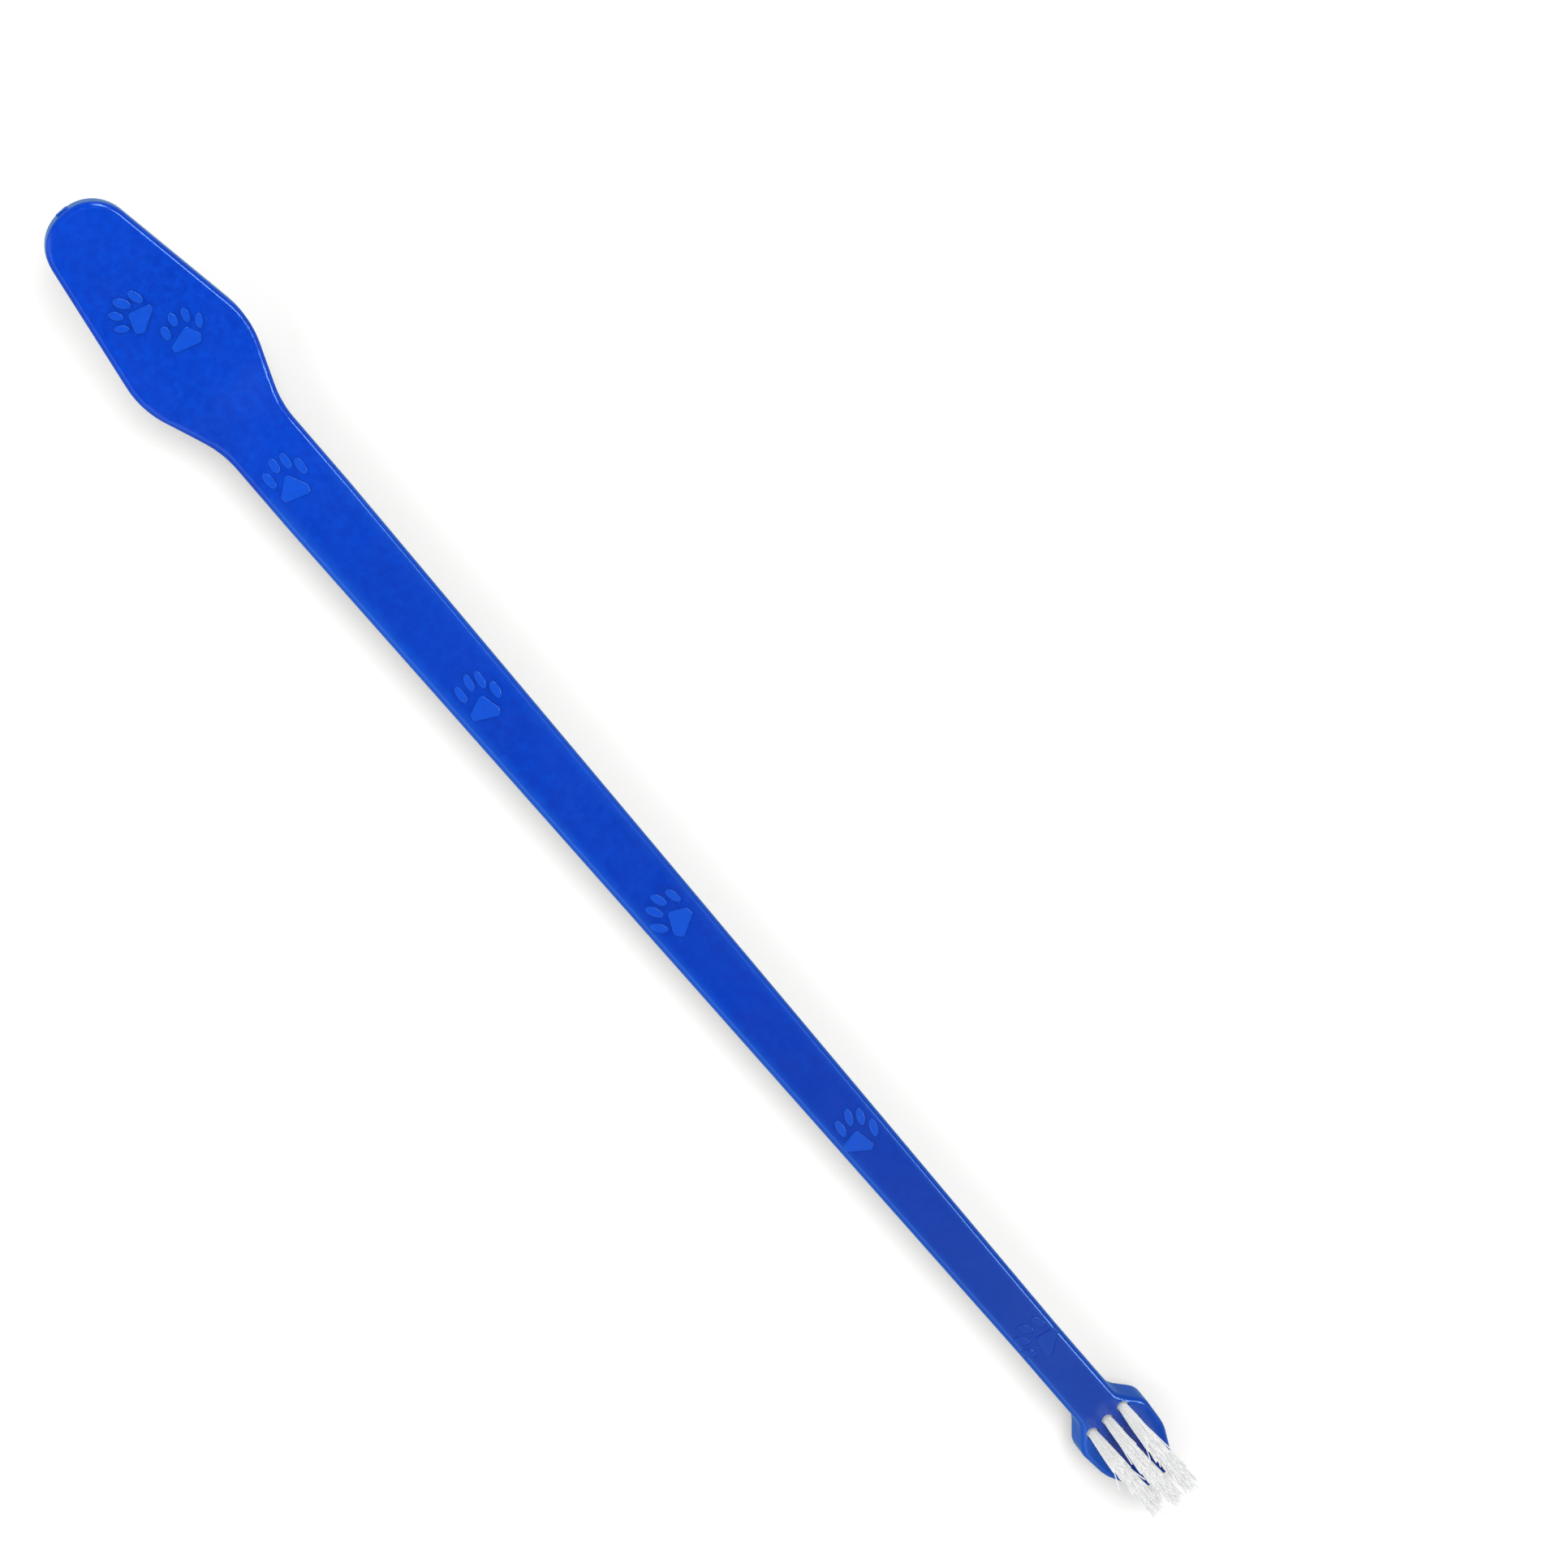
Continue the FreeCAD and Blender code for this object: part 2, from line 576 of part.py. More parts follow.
# The large head's sketches are turned so that their x axis runs to the neck.
half_turn = Placement(Vector(), Rotation(Vector(0, 0, 1), 180))
first_row = 0
for rows, columns in LARGE_RUNS:
    hole_rows(f"large_holes_from_row_{first_row + 1}", large_row(first_row) * half_turn,
              "large", columns, rows, "Dims.hole_deep")
    first_row += rows

# The plane that the small head's holes start from clears the highest point of
# the curved face.
hole_rows("small_holes", small_row(0) * shift(0, 0, SIZE["small_hole_clear"]),
          "small", SMALL_COLUMNS[0], SMALL_ROWS, "Dims.hole_deep + Dims.small_hole_clear")


# ------------------------------------------------------ anchors and roots
def primitive(kind, name, expressions):
    feature = doc.addObject("Part::" + kind, name)
    for prop, text in expressions.items():
        feature.setExpression(prop, text)
    return feature


# One anchor plate, standing on edge across a hole that points up, with the
# hole's floor at z = 0.
anchor_plate = primitive("Box", "anchor_plate", {
    "Length": "Dims.anchor_thick",
    "Width": "Dims.anchor_wide",
    "Height": "Dims.anchor_high",
    "Placement.Base.x": "-Dims.anchor_thick / 2",
    "Placement.Base.y": "-Dims.anchor_wide / 2",
    "Placement.Base.z": "Dims.anchor_lift",
})

# One folded bundle in its hole: a full cylinder with a slot for the anchor.
folded = doc.addObject("Part::Cut", "folded_bundle")
folded.Base = primitive("Cylinder", "folded_bundle_blank", {
    "Radius": "Dims.root_dia / 2",
    "Height": "Dims.hole_deep",
})
folded.Tool = anchor_plate
doc.recompute()


def hole_floors(row_frame, columns, pitch):
    return [row_frame(row) * shift(0, y, -SIZE["hole_deep"])
            for row, count in enumerate(columns) for y in columns_y(count, pitch)]


def below_small_face():
    """Block under the small head's bristle face, its bend in short chords."""
    start_x, stop_x, bottom_z, half_wide, chords = 70, 115.0, -40, 20, 24
    bend = [bend_start + (bend_stop - bend_start) * k / chords for k in range(chords + 1)]
    start = Vector(start_x, -half_wide, SIZE["handle_thick"])
    curve = [Vector(x, -half_wide, small_face_z(x)) for x in bend + [stop_x]]
    bottom = [Vector(x, -half_wide, bottom_z) for x in (stop_x, start_x)]
    section = Part.Face(Part.makePolygon([start, *curve, *bottom, start]))
    return section.extrude(Vector(0, 2 * half_wide, 0))


def group(name, master, places, cut_to=None):
    """Identical pieces in one node, each its own solid."""
    solids = []
    for place in places:
        piece = master.Shape.copy()
        piece.Placement = place * piece.Placement
        if cut_to is not None:
            piece = piece.common(cut_to)
        solids += piece.Solids
    if len(solids) != len(places):
        raise RuntimeError(f"{name} has {len(solids)} solids")
    feature = doc.addObject("Part::Feature", name)
    feature.Shape = Part.makeCompound(solids)
    return feature


large_floors = hole_floors(large_row, LARGE_COLUMNS, SIZE["large_col_pitch"])
small_floors = hole_floors(small_row, SMALL_COLUMNS, SIZE["small_col_pitch"])
pieces = [
    handle,
    group("large_head_anchors", anchor_plate, large_floors),
    group("small_head_anchors", anchor_plate, small_floors),
    group("large_tuft_roots", folded, large_floors),
    # The small head's face is curved, so its folded bundles end at that face.
    group("small_tuft_roots", folded, small_floors, below_small_face()),
]


# ------------------------------------------------------------- free tufts
def free_tufts(head, columns, root_of, middle_turn):
    """Cones that widen to the trimmed end, each row leaning by its own angle."""
    for row, count in enumerate(columns):
        root = root_of(row)
        fan = SIZE[head + "_fan_deg"] * (1 - 2 * row / (SIZE[head + "_rows"] - 1))
        row_frame = Placement(root, tilt(middle_turn + fan))
        for column, y in enumerate(columns_y(count, SIZE[head + "_col_pitch"]), 1):
            cone = primitive("Cone", f"{head}_tuft_r{row + 1:02d}_c{column}", {
                "Radius1": "Dims.tuft_base_dia / 2",
                "Radius2": f"Dims.{head}_tip_dia / 2",
                "Height": f"Dims.{head}_free_len - Dims.flex_gap",
            })
            cone.Placement = row_frame * shift(0, y, SIZE["flex_gap"])
            pieces.append(cone)
        # The point that the row flexes about, in metres.
        print(f"{head}_row_{row + 1:02d} pivot "
              f"{root.x / 1000:.6f} {0:.6f} {root.z / 1000:.6f}")


free_tufts("large", LARGE_COLUMNS, lambda row: large_row(row).Base,
           180 + SIZE["large_bend_deg"])
free_tufts("small", SMALL_COLUMNS, small_root, SIZE["small_lean_deg"])
doc.recompute()

# ------------------------------------------------------------------ export
for item in doc.Objects:
    if any(word in ("Invalid", "Error") for word in item.State):
        raise RuntimeError(f"{item.Name}: {item.State}")
for piece in pieces:
    if piece.Shape.isNull() or not piece.Shape.isValid() or piece.Shape.Volume <= 0:
        raise RuntimeError("bad shape: " + piece.Label)
    piece.Shape.exportStep(f"parts/{piece.Label}.step")
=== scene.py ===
import json
import math

import bpy
import numpy as np
from mathutils import Matrix, Vector


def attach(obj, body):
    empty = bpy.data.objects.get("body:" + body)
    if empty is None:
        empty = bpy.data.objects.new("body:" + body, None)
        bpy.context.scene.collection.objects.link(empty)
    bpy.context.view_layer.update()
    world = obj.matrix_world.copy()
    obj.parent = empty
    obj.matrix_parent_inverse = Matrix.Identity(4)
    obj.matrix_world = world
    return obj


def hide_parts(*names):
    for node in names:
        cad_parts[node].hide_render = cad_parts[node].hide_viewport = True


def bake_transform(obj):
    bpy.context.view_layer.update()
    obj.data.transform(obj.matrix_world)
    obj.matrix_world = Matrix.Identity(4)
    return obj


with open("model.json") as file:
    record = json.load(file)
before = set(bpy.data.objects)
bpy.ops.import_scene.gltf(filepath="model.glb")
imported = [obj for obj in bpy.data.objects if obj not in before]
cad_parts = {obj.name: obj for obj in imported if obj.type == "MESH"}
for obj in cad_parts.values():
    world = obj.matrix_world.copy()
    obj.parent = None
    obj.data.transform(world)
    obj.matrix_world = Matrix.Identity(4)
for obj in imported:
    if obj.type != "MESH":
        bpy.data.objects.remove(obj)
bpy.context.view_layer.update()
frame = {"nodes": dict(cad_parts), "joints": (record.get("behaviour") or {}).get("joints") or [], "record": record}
RNG = np.random.default_rng(41)
MM = 0.001


# ------------------------------------------------------------ node helpers
class Tree:
    """A material or world node tree, built by short calls."""

    def __init__(self, tree):
        self.tree = tree
        tree.nodes.clear()

    def node(self, kind, **settings):
        made = self.tree.nodes.new(kind)
        for key, value in settings.items():
            setattr(made, key, value)
        return made

    def link(self, a, b):
        self.tree.links.new(a, b)

    def put(self, socket, value):
        if hasattr(value, "is_linked") or hasattr(value, "links"):
            self.link(value, socket)
        else:
            socket.default_value = value

    def math(self, operation, a, b=0.0, c=0.0, clamp=False):
        made = self.node("ShaderNodeMath", operation=operation, use_clamp=clamp)
        for socket, value in zip(made.inputs, (a, b, c)):
            self.put(socket, value)
        return made.outputs[0]

    def mapped(self, vector, scale=(1, 1, 1), turn=(0, 0, 0), move=(0, 0, 0)):
        made = self.node("ShaderNodeMapping")
        self.link(vector, made.inputs["Vector"])
        made.inputs["Scale"].default_value = scale
        made.inputs["Rotation"].default_value = turn
        made.inputs["Location"].default_value = move
        return made.outputs[0]

    def noise(self, vector, scale, detail=2.0, rough=0.5, twist=0.0):
        made = self.node("ShaderNodeTexNoise")
        self.link(vector, made.inputs["Vector"])
        made.inputs["Scale"].default_value = scale
        made.inputs["Detail"].default_value = detail
        made.inputs["Roughness"].default_value = rough
        made.inputs["Distortion"].default_value = twist
        return made.outputs[0]

    def spread(self, value, low, high, to_low, to_high, smooth=False):
        made = self.node("ShaderNodeMapRange")
        made.interpolation_type = "SMOOTHSTEP" if smooth else "LINEAR"
        made.clamp = True
        for name, v in (("Value", value), ("From Min", low), ("From Max", high),
                        ("To Min", to_low), ("To Max", to_high)):
            self.put(made.inputs[name], v)
        return made.outputs[0]

    def blend(self, factor, a, b, mode="MIX"):
        made = self.node("ShaderNodeMix", data_type="RGBA", blend_type=mode)
        self.put(made.inputs[0], factor)
        self.put(made.inputs[6], a)
        self.put(made.inputs[7], b)
        return made.outputs[2]

    def bump(self, height, strength, distance, below=None):
        made = self.node("ShaderNodeBump")
        self.put(made.inputs["Height"], height)
        made.inputs["Strength"].default_value = strength
        made.inputs["Distance"].default_value = distance
        if below is not None:
            self.link(below, made.inputs["Normal"])
        return made.outputs[0]


def new_material(name):
    made = bpy.data.materials.new(name)
    made.use_nodes = True
    return made, Tree(made.node_tree)


def principled(t, **values):
    shader = t.node("ShaderNodeBsdfPrincipled")
    for key, value in values.items():
        t.put(shader.inputs[key.replace("_", " ")], value)
    return shader


def dress(obj, material):
    if obj.material_slots:
        for place in obj.material_slots:
            place.material = material
    else:
        obj.data.materials.append(material)


# ------------------------------------------------- the moulding's flat faces
def points_of(node):
    mesh = frame["nodes"][node].data
    co = np.empty(len(mesh.vertices) * 3)
    mesh.vertices.foreach_get("co", co)
    return co.reshape(-1, 3)


def facing(node, way, near, far):
    """Level of the largest flat facing way, among the node's faces between two
    places along X."""
    mesh = frame["nodes"][node].data
    count = len(mesh.polygons)
    area = np.empty(count)
    mesh.polygons.foreach_get("area", area)
    normal, centre = np.empty(count * 3), np.empty(count * 3)
    mesh.polygons.foreach_get("normal", normal)
    mesh.polygons.foreach_get("center", centre)
    normal, centre = normal.reshape(-1, 3), centre.reshape(-1, 3)
    keep = (normal @ way > 0.9995) & (centre[:, 0] > near) & (centre[:, 0] < far)
    level = centre[keep] @ way
    steps = np.round(level / (0.02 * MM)).astype(int)
    best = max(set(steps.tolist()), key=lambda k: area[keep][steps == k].sum())
    return float(level[steps == best].mean())


HINGES = {j["child"]: j for j in frame["joints"]}
ROW_A = np.array(HINGES["large_row_01"]["pos_m"])
ROW_B = np.array(HINGES["large_row_10"]["pos_m"])
HEAD_ALONG = (ROW_B - ROW_A) / np.linalg.norm(ROW_B - ROW_A)
HEAD_NORMAL = np.array((-HEAD_ALONG[2], 0.0, HEAD_ALONG[0]))
HEAD_X = -70 * MM
HEAD_LEVEL = facing("handle", HEAD_NORMAL, -1.0, -84 * MM)
HANDLE_TOP = facing("handle", np.array((0.0, 0.0, 1.0)), -60 * MM, 80 * MM)


# ---------------------------------------------------------------- materials
def blue_plastic():
    """Injection moulded polypropylene: glossy, slightly mottled, with faint
    flow marks along the handle, fine grain, a few pale specks, and a little
    paler where the paw prints stand proud."""
    made, t = new_material("blue_polypropylene")
    here = t.node("ShaderNodeTexCoord").outputs["Object"]
    cloud = t.noise(here, 70.0, 3.0, 0.55, 0.3)
    patch = t.noise(here, 900.0, 4.0, 0.65)
    flow = t.noise(t.mapped(here, (22, 260, 200), (0, 0, 0.05)), 1.0, 3.0, 0.5, 0.6)
    colour = t.blend(t.spread(cloud, 0.3, 0.7, 0.0, 1.0),
                     (0.0008, 0.0430, 0.480, 1), (0.0012, 0.0540, 0.580, 1))
    colour = t.blend(t.spread(patch, 0.40, 0.70, 0.0, 0.62),
                     colour, (0.0014, 0.0760, 0.690, 1))
    colour = t.blend(t.spread(flow, 0.50, 0.80, 0.0, 0.25, True),
                     colour, (0.0010, 0.0350, 0.400, 1))
    # deeper towards the middle and the small head, where the section is thick
    where = t.node("ShaderNodeSeparateXYZ")
    t.link(here, where.inputs[0])
    deeper = t.math("ADD", t.spread(where.outputs[0], -75 * MM, -42 * MM, 0.0, 0.26, True),
                    t.spread(where.outputs[0], -5 * MM, 65 * MM, 0.0, 0.40))
    colour = t.blend(deeper, colour, (0.0005, 0.0200, 0.250, 1))
    # painted light: a paler band along the handle's rims, stronger on the -Y side than on the +Y side, stands in
    # for the soft light reflected there
    half = t.spread(where.outputs[0], -70 * MM, 96 * MM, 4.98 * MM, 3.06 * MM)
    rim_light_paint = t.math("DIVIDE", t.math("ABSOLUTE", where.outputs[1]), half)
    side = t.spread(where.outputs[1], -1 * MM, 1 * MM, 0.55, 0.25, True)
    rim_light_paint = t.math("MULTIPLY", t.spread(rim_light_paint, 0.55, 1.0, 0.0, 1.0, True), side)
    rim_light_paint = t.math("MULTIPLY", rim_light_paint, t.spread(where.outputs[0], -68 * MM, -60 * MM, 0.0, 1.0, True))
    colour = t.blend(rim_light_paint, colour, (0.0100, 0.1200, 0.640, 1))
    # painted sheen: the colour turns paler cyan where the surface is seen at a grazing angle, as a glossy
    # reflection would look
    grazing_sheen_paint = t.node("ShaderNodeLayerWeight")
    grazing_sheen_paint.inputs["Blend"].default_value = 0.35
    edge = t.spread(grazing_sheen_paint.outputs["Facing"], 0.30, 0.95, 0.0, 0.50, True)
    colour = t.blend(edge, colour, (0.0150, 0.1700, 0.700, 1))
    # raised prints: height above the flat of the handle or of the large head
    on_handle = t.math("SUBTRACT", where.outputs[2], HANDLE_TOP)
    on_handle = t.math("MULTIPLY", on_handle, t.math("GREATER_THAN", where.outputs[0], HEAD_X))
    flat = t.node("ShaderNodeVectorMath", operation="DOT_PRODUCT")
    t.link(here, flat.inputs[0])
    flat.inputs[1].default_value = tuple(HEAD_NORMAL)
    on_head = t.math("SUBTRACT", flat.outputs["Value"], HEAD_LEVEL)
    on_head = t.math("MULTIPLY", on_head, t.math("LESS_THAN", where.outputs[0], HEAD_X - 12 * MM))
    proud = t.math("MAXIMUM", on_handle, on_head)
    raised = t.spread(proud, 0.04 * MM, 0.20 * MM, 0.0, 0.46, True)
    raised = t.math("MULTIPLY", raised, t.spread(where.outputs[0], 55 * MM, 70 * MM, 1.0, 0.15))
    colour = t.blend(raised, colour, (0.0100, 0.1150, 0.740, 1))
    # painted reflection: the upward-facing surfaces towards the small head are painted a little paler, standing in
    # for a hazy reflection there
    up = t.node("ShaderNodeNewGeometry").outputs["Normal"]
    level = t.node("ShaderNodeSeparateXYZ")
    t.link(up, level.inputs[0])
    top_haze_paint = t.math("MULTIPLY", t.spread(level.outputs[2], 0.80, 0.97, 0.0, 1.0, True),
                   t.spread(where.outputs[0], 20 * MM, 100 * MM, 0.0, 0.27, True))
    top_haze_paint = t.math("MULTIPLY", top_haze_paint, t.spread(cloud, 0.2, 0.8, 0.8, 1.2))
    colour = t.blend(top_haze_paint, colour, (0.0600, 0.1300, 0.380, 1))
    # pale specks: dust and pigment flecks, a few per square centimetre
    cells = t.node("ShaderNodeTexVoronoi", feature="F1")
    t.link(here, cells.inputs["Vector"])
    cells.inputs["Scale"].default_value = 300.0
    pick = t.node("ShaderNodeSeparateColor")
    t.link(cells.outputs["Color"], pick.inputs[0])
    near = t.math("LESS_THAN", cells.outputs["Distance"],
                  t.spread(pick.outputs[1], 0.0, 1.0, 0.020, 0.055))
    speck = t.math("MULTIPLY", near, t.math("GREATER_THAN", pick.outputs[0], 0.86))
    colour = t.blend(t.math("MULTIPLY", speck, 0.7), colour, (0.60, 0.70, 0.88, 1))
    # the surroundings only catch a neutral tone from it
    bounce = t.node("ShaderNodeLightPath").outputs["Is Diffuse Ray"]
    colour = t.blend(bounce, colour, (0.20, 0.19, 0.18, 1))
    rough = t.spread(t.noise(here, 240.0, 4.0, 0.6), 0.3, 0.7, 0.12, 0.18)
    rough = t.math("ADD", rough, t.spread(flow, 0.5, 0.8, 0.0, 0.03))
    grain = t.bump(t.noise(here, 2600.0, 2.0, 0.5), 0.05, 0.00002)
    wave = t.bump(t.noise(here, 150.0, 2.0, 0.5), 0.30, 0.00006, grain)
    shader = principled(t, Base_Color=colour, Roughness=rough, Normal=wave,
                        Subsurface_Weight=0.05, Subsurface_Scale=0.0006,
                        IOR=1.45, Coat_Weight=0.08, Coat_Roughness=0.08)
    shader.inputs["Subsurface Radius"].default_value = (0.15, 0.4, 1.0)
    t.link(shader.outputs[0], t.node("ShaderNodeOutputMaterial").inputs[0])
    return made


def white_nylon():
    """Crimped nylon filament: each one its own tone, a little translucent."""
    made, t = new_material("white_nylon_filament")
    here = t.node("ShaderNodeTexCoord").outputs["Object"]
    tone = t.node("ShaderNodeAttribute", attribute_name="filament_tone").outputs["Fac"]
    along = t.node("ShaderNodeAttribute", attribute_name="filament_along").outputs["Fac"]
    colour = t.blend(tone, (0.84, 0.84, 0.835, 1), (0.95, 0.95, 0.945, 1))
    # painted shade: the filaments are painted a little darker and bluer at their roots
    colour = t.blend(t.spread(along, 0.0, 0.10, 0.10, 0.0, True), colour, (0.74, 0.77, 0.84, 1))
    streak = t.noise(t.mapped(here, (2600, 2600, 400)), 1.0, 3.0, 0.6)
    colour = t.blend(t.spread(streak, 0.40, 0.75, 0.10, 0.0), colour, (0.80, 0.81, 0.83, 1))
    crimp = t.bump(t.noise(here, 2300.0, 2.0, 0.5), 0.25, 0.00004)
    rough = t.spread(t.noise(here, 1500.0, 2.0, 0.5), 0.3, 0.7, 0.28, 0.46)
    body = principled(t, Base_Color=colour, Roughness=rough, Normal=crimp, IOR=1.50,
                      Subsurface_Weight=0.15, Subsurface_Scale=0.0005)
    body.inputs["Subsurface Radius"].default_value = (1.0, 0.95, 0.9)
    # painted light: the filaments glow faintly so they read as brightly lit white, bluer towards the roots
    t.put(body.inputs["Emission Color"], t.blend(t.spread(along, 0.0, 0.3, 1.0, 0.0, True),
                                                 (0.99, 0.99, 1.0, 1), (0.85, 0.88, 0.95, 1)))
    body.inputs["Emission Strength"].default_value = 0.15
    through = t.node("ShaderNodeBsdfTranslucent")
    t.put(through.inputs[0], colour)
    mixed = t.node("ShaderNodeMixShader")
    mixed.inputs[0].default_value = 0.28
    t.link(body.outputs[0], mixed.inputs[1])
    t.link(through.outputs[0], mixed.inputs[2])
    t.link(mixed.outputs[0], t.node("ShaderNodeOutputMaterial").inputs[0])
    return made


def anchor_metal():
    """Blanked nickel silver: fine rolling lines and a patchy roughness."""
    made, t = new_material("anchor_nickel_silver")
    here = t.node("ShaderNodeTexCoord").outputs["Object"]
    lines = t.noise(t.mapped(here, (9000, 900, 9000)), 1.0, 3.0, 0.6)
    colour = t.blend(t.spread(lines, 0.3, 0.7, 0.0, 1.0),
                     (0.56, 0.52, 0.45, 1), (0.70, 0.67, 0.60, 1))
    rough = t.spread(t.noise(here, 2500.0, 3.0, 0.6), 0.3, 0.7, 0.24, 0.45)
    shader = principled(t, Base_Color=colour, Roughness=rough, Metallic=1.0,
                        Normal=t.bump(lines, 0.2, 0.00002))
    t.link(shader.outputs[0], t.node("ShaderNodeOutputMaterial").inputs[0])
    return made


PLASTIC, NYLON, METAL = blue_plastic(), white_nylon(), anchor_metal()


# ------------------------------------------------------------ filament mesh
SIDES = 6
TURN = np.arange(SIDES) * 2 * math.pi / SIDES


def tubes(name, lines, radii, first, second, tone, along):
    """Closed round-ended tubes. lines: F x n x 3 centre lines, radii: F x n,
    first and second: the two directions across each tube, F x n x 3."""
    count, rings = lines.shape[:2]
    spin = (first[:, :, None, :] * np.cos(TURN)[None, None, :, None]
            + second[:, :, None, :] * np.sin(TURN)[None, None, :, None])
    skin = lines[:, :, None, :] + radii[:, :, None, None] * spin
    per = rings * SIDES + 2
    verts = np.empty((count, per, 3))
    verts[:, :-2] = skin.reshape(count, rings * SIDES, 3)
    verts[:, -2] = lines[:, 0] - (lines[:, 1] - lines[:, 0]) * 0.02
    last = lines[:, -1] - lines[:, -2]
    last /= np.linalg.norm(last, axis=1, keepdims=True)
    verts[:, -1] = lines[:, -1] + last * radii[:, -1:] * 0.55
    faces = []
    for ring in range(rings - 1):
        for k in range(SIDES):
            a, b = ring * SIDES + k, ring * SIDES + (k + 1) % SIDES
            faces.append((a, b, b + SIDES, a + SIDES))
    quads = np.array(faces)
    ends = []
    top = (rings - 1) * SIDES
    for k in range(SIDES):
        ends.append(((k + 1) % SIDES, k, per - 2))
        ends.append((top + k, top + (k + 1) % SIDES, per - 1))
    ends = np.array(ends)
    shift = (np.arange(count) * per)[:, None, None]
    all_quads = (quads[None] + shift).reshape(-1, 4)
    all_ends = (ends[None] + shift).reshape(-1, 3)
    mesh = bpy.data.meshes.new(name)
    mesh.from_pydata(verts.reshape(-1, 3).tolist(), [], all_quads.tolist() + all_ends.tolist())
    mesh.polygons.foreach_set("use_smooth", [True] * len(mesh.polygons))
    values = np.empty((count, per), np.float32)
    values[:, :-2] = np.repeat(along, SIDES, axis=1)
    values[:, -2], values[:, -1] = along[:, 0], along[:, -1]
    mesh.attributes.new("filament_along", "FLOAT", "POINT").data.foreach_set("value", values.ravel())
    values[:] = tone[:, None]
    mesh.attributes.new("filament_tone", "FLOAT", "POINT").data.foreach_set("value", values.ravel())
    mesh.update()
    obj = bpy.data.objects.new(name, mesh)
    bpy.context.scene.collection.objects.link(obj)
    obj.data.materials.append(NYLON)
    return obj


def tuft_axis(node, pivot):
    """Centres of the two ends of a CAD bundle, the one near the face first."""
    co = points_of(node)
    middle = co.mean(axis=0)
    axis = np.linalg.svd(co - middle, full_matrices=False)[2][0]
    along = (co - middle) @ axis
    ends = []
    for edge in (along.min(), along.max()):
        disc = co[np.abs(along - edge) < 2e-6]
        ends.append((disc.min(axis=0) + disc.max(axis=0)) / 2)
    flat = [np.hypot(e[0] - pivot[0], e[2] - pivot[2]) for e in ends]
    return (ends[0], ends[1]) if flat[0] < flat[1] else (ends[1], ends[0])


GOLDEN = math.pi * (3 - math.sqrt(5))


def bundle(base, tip, count, root_rad, tip_rad, thick, ragged, loose, sunk, early, stray=0.005):
    """Centre lines of one tuft's filaments, from inside its hole to the trim."""
    length = np.linalg.norm(tip - base)
    axis = (tip - base) / length
    side = np.array((0.0, 1.0, 0.0))
    side -= axis * (side @ axis)
    side /= np.linalg.norm(side)
    other = np.cross(axis, side)
    k = np.arange(count)
    spot = np.sqrt((k + 0.5) / count)
    angle = k * GOLDEN + RNG.uniform(0, 2 * math.pi) + RNG.normal(0, 0.10, count)
    stations = np.array((-sunk / length, 0.0, 0.07, 0.16, 0.30, 0.46, 0.64, 0.82, 0.95, 1.0))
    n = len(stations)
    reach = RNG.uniform(-ragged, ragged * 0.35, count) - 0.25 * ragged * spot ** 2
    run = np.where(stations[None] > 0, stations[None] * (length + reach[:, None]),
                   stations[None] * length)
    s = np.clip(stations, 0, 1)
    ease = 1 - (1 - s) ** early
    radius = (root_rad - thick) * spot[:, None] * (1 - ease)[None] \
        + (tip_rad - thick) * spot[:, None] * ease[None]
    wander = RNG.normal(0, loose, (count, 2))
    wander[RNG.uniform(0, 1, count) < stray] *= 5.0
    crimp = RNG.uniform(0, 2 * math.pi, (count, 2))
    swing = np.sin(s[None, :, None] * 7.0 + crimp[:, None, :]) * 0.02 * MM * s[None, :, None]
    bend = wander[:, None, :] * (s ** 2)[None, :, None] + swing
    x = radius * np.cos(angle)[:, None] + bend[:, :, 0]
    y = radius * np.sin(angle)[:, None] + bend[:, :, 1]
    lines = base + run[:, :, None] * axis + x[:, :, None] * side + y[:, :, None] * other
    radii = np.full((count, n), thick)
    radii[:, -1] *= 0.72
    first = np.broadcast_to(side, lines.shape)
    second = np.broadcast_to(other, lines.shape)
    return lines, radii, first, second, np.broadcast_to(s, (count, n)).copy()


def join(parts):
    return [np.concatenate([p[i] for p in parts]) for i in range(len(parts[0]))]


BODIES = frame["record"]["behaviour"]["bodies"]
SETTINGS = {
    "large": dict(count=58, root_rad=0.82 * MM, tip_rad=1.38 * MM, thick=0.104 * MM,
                  ragged=0.24 * MM, loose=0.06 * MM, sunk=0.75 * MM, early=3.4),
    "small": dict(count=58, root_rad=0.72 * MM, tip_rad=1.14 * MM, thick=0.080 * MM,
                  ragged=1.1 * MM, loose=0.17 * MM, sunk=0.75 * MM, early=1.25, stray=0.03),
}
SOLE = []          # row-frame points that may touch the table
LOOPS = {"large": [], "small": []}
for body in sorted(BODIES):
    if body == "handle":
        continue
    head = body.split("_")[0]
    pivot = np.array(HINGES[body]["pos_m"], float)
    parts, axes = [], []
    for node in sorted(BODIES[body]):
        base, tip = tuft_axis(node, pivot)
        if head == "small" and base[1] < -1 * MM:
            tip = base + (tip - base) * 0.90
        parts.append(bundle(base, tip, **SETTINGS[head]))
        axis = (tip - base) / np.linalg.norm(tip - base)
        axes.append(axis)
        LOOPS[head].append((base, axis))
    lines, radii, first, second, along = join(parts)
    tone = RNG.uniform(0, 1, len(lines))
    row = tubes("%s_bristles_%s" % (head, body[-2:]), lines, radii, first, second, tone, along)
    mean = np.mean(axes, axis=0)
    mean /= np.linalg.norm(mean)
    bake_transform(row)
    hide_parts(*sorted(BODIES[body]))
    SOLE.append(lines.reshape(-1, 3))

